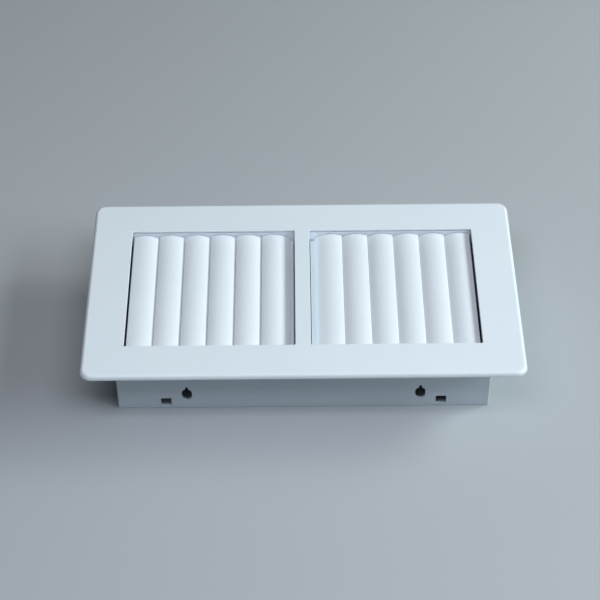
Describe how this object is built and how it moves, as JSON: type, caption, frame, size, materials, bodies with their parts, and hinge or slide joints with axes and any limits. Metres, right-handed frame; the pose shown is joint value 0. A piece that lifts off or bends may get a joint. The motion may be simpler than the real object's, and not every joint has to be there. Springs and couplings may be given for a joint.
{
  "type": "louvred air grille",
  "caption": "White two-bank louvred air grille: wide flat face, curved pivoting blades linked behind the face, and a rectangular duct neck with keyholes.",
  "frame": {"origin": "centre of the neck's open end, which is the bottom centre of the bounding box with the blades closed", "axes": "+X along the face's long side, +Y across it, +Z out of the front face"},
  "size_m": [0.35, 0.2, 0.064],
  "materials": {
    "white_face": "satin moulded ABS",
    "white_neck": "satin moulded ABS",
    "white_blade": "satin moulded ABS",
    "white_rail": "satin moulded ABS",
    "grey_linkage": "matte moulded acetal",
    "zinc_screw": "zinc plated"
  },
  "bodies": {
    "frame": {"face_frame": "white_face", "duct_collar": "white_neck", "left_front_rail": "white_rail", "left_rear_rail": "white_rail", "right_front_rail": "white_rail", "right_rear_rail": "white_rail", "rail_screws": "zinc_screw"},
    "left_blade_1": {"left_blade_1": "white_blade", "left_crank_1": "grey_linkage"},
    "left_blade_2": {"left_blade_2": "white_blade", "left_crank_2": "grey_linkage"},
    "left_blade_3": {"left_blade_3": "white_blade", "left_crank_3": "grey_linkage"},
    "left_blade_4": {"left_blade_4": "white_blade", "left_crank_4": "grey_linkage"},
    "left_blade_5": {"left_blade_5": "white_blade", "left_crank_5": "grey_linkage"},
    "left_blade_6": {"left_blade_6": "white_blade", "left_crank_6": "grey_linkage"},
    "left_tie_bar": {"left_tie_bar": "grey_linkage"},
    "right_blade_1": {"right_blade_1": "white_blade", "right_crank_1": "grey_linkage"},
    "right_blade_2": {"right_blade_2": "white_blade", "right_crank_2": "grey_linkage"},
    "right_blade_3": {"right_blade_3": "white_blade", "right_crank_3": "grey_linkage"},
    "right_blade_4": {"right_blade_4": "white_blade", "right_crank_4": "grey_linkage"},
    "right_blade_5": {"right_blade_5": "white_blade", "right_crank_5": "grey_linkage"},
    "right_blade_6": {"right_blade_6": "white_blade", "right_crank_6": "grey_linkage"},
    "right_tie_bar": {"right_tie_bar": "grey_linkage"}
  },
  "joints": [
    {"name": "left_blade_1_pivot", "type": "hinge", "parent": "frame", "child": "left_blade_1", "pos_m": [-0.1279, 0, 0.0545], "axis": [0, 1, 0], "range_deg": [0, 75]},
    {"name": "left_blade_2_pivot", "type": "hinge", "parent": "frame", "child": "left_blade_2", "pos_m": [-0.1064, 0, 0.0545], "axis": [0, 1, 0], "range_deg": [0, 75]},
    {"name": "left_blade_3_pivot", "type": "hinge", "parent": "frame", "child": "left_blade_3", "pos_m": [-0.0849, 0, 0.0545], "axis": [0, 1, 0], "range_deg": [0, 75]},
    {"name": "left_blade_4_pivot", "type": "hinge", "parent": "frame", "child": "left_blade_4", "pos_m": [-0.0634, 0, 0.0545], "axis": [0, 1, 0], "range_deg": [0, 75]},
    {"name": "left_blade_5_pivot", "type": "hinge", "parent": "frame", "child": "left_blade_5", "pos_m": [-0.0419, 0, 0.0545], "axis": [0, 1, 0], "range_deg": [0, 75]},
    {"name": "left_blade_6_pivot", "type": "hinge", "parent": "frame", "child": "left_blade_6", "pos_m": [-0.0204, 0, 0.0545], "axis": [0, 1, 0], "range_deg": [0, 75]},
    {"name": "left_tie_bar_pivot", "type": "hinge", "parent": "left_blade_3", "child": "left_tie_bar", "pos_m": [-0.0769, -0.0713, 0.0455], "axis": [0, 1, 0], "range_deg": [-75, 0]},
    {"name": "right_blade_1_pivot", "type": "hinge", "parent": "frame", "child": "right_blade_1", "pos_m": [0.0204, 0, 0.0545], "axis": [0, -1, 0], "range_deg": [0, 75]},
    {"name": "right_blade_2_pivot", "type": "hinge", "parent": "frame", "child": "right_blade_2", "pos_m": [0.0419, 0, 0.0545], "axis": [0, -1, 0], "range_deg": [0, 75]},
    {"name": "right_blade_3_pivot", "type": "hinge", "parent": "frame", "child": "right_blade_3", "pos_m": [0.0634, 0, 0.0545], "axis": [0, -1, 0], "range_deg": [0, 75]},
    {"name": "right_blade_4_pivot", "type": "hinge", "parent": "frame", "child": "right_blade_4", "pos_m": [0.0849, 0, 0.0545], "axis": [0, -1, 0], "range_deg": [0, 75]},
    {"name": "right_blade_5_pivot", "type": "hinge", "parent": "frame", "child": "right_blade_5", "pos_m": [0.1064, 0, 0.0545], "axis": [0, -1, 0], "range_deg": [0, 75]},
    {"name": "right_blade_6_pivot", "type": "hinge", "parent": "frame", "child": "right_blade_6", "pos_m": [0.1279, 0, 0.0545], "axis": [0, -1, 0], "range_deg": [0, 75]},
    {"name": "right_tie_bar_pivot", "type": "hinge", "parent": "right_blade_4", "child": "right_tie_bar", "pos_m": [0.0769, -0.0713, 0.0455], "axis": [0, -1, 0], "range_deg": [-75, 0]}
  ],
  "couplings": [
    {"joint": "left_blade_1_pivot", "follows": "left_blade_3_pivot", "ratio": 1},
    {"joint": "left_blade_2_pivot", "follows": "left_blade_3_pivot", "ratio": 1},
    {"joint": "left_blade_4_pivot", "follows": "left_blade_3_pivot", "ratio": 1},
    {"joint": "left_blade_5_pivot", "follows": "left_blade_3_pivot", "ratio": 1},
    {"joint": "left_blade_6_pivot", "follows": "left_blade_3_pivot", "ratio": 1},
    {"joint": "left_tie_bar_pivot", "follows": "left_blade_3_pivot", "ratio": -1},
    {"joint": "right_blade_1_pivot", "follows": "right_blade_4_pivot", "ratio": 1},
    {"joint": "right_blade_2_pivot", "follows": "right_blade_4_pivot", "ratio": 1},
    {"joint": "right_blade_3_pivot", "follows": "right_blade_4_pivot", "ratio": 1},
    {"joint": "right_blade_5_pivot", "follows": "right_blade_4_pivot", "ratio": 1},
    {"joint": "right_blade_6_pivot", "follows": "right_blade_4_pivot", "ratio": 1},
    {"joint": "right_tie_bar_pivot", "follows": "right_blade_4_pivot", "ratio": -1}
  ]
}
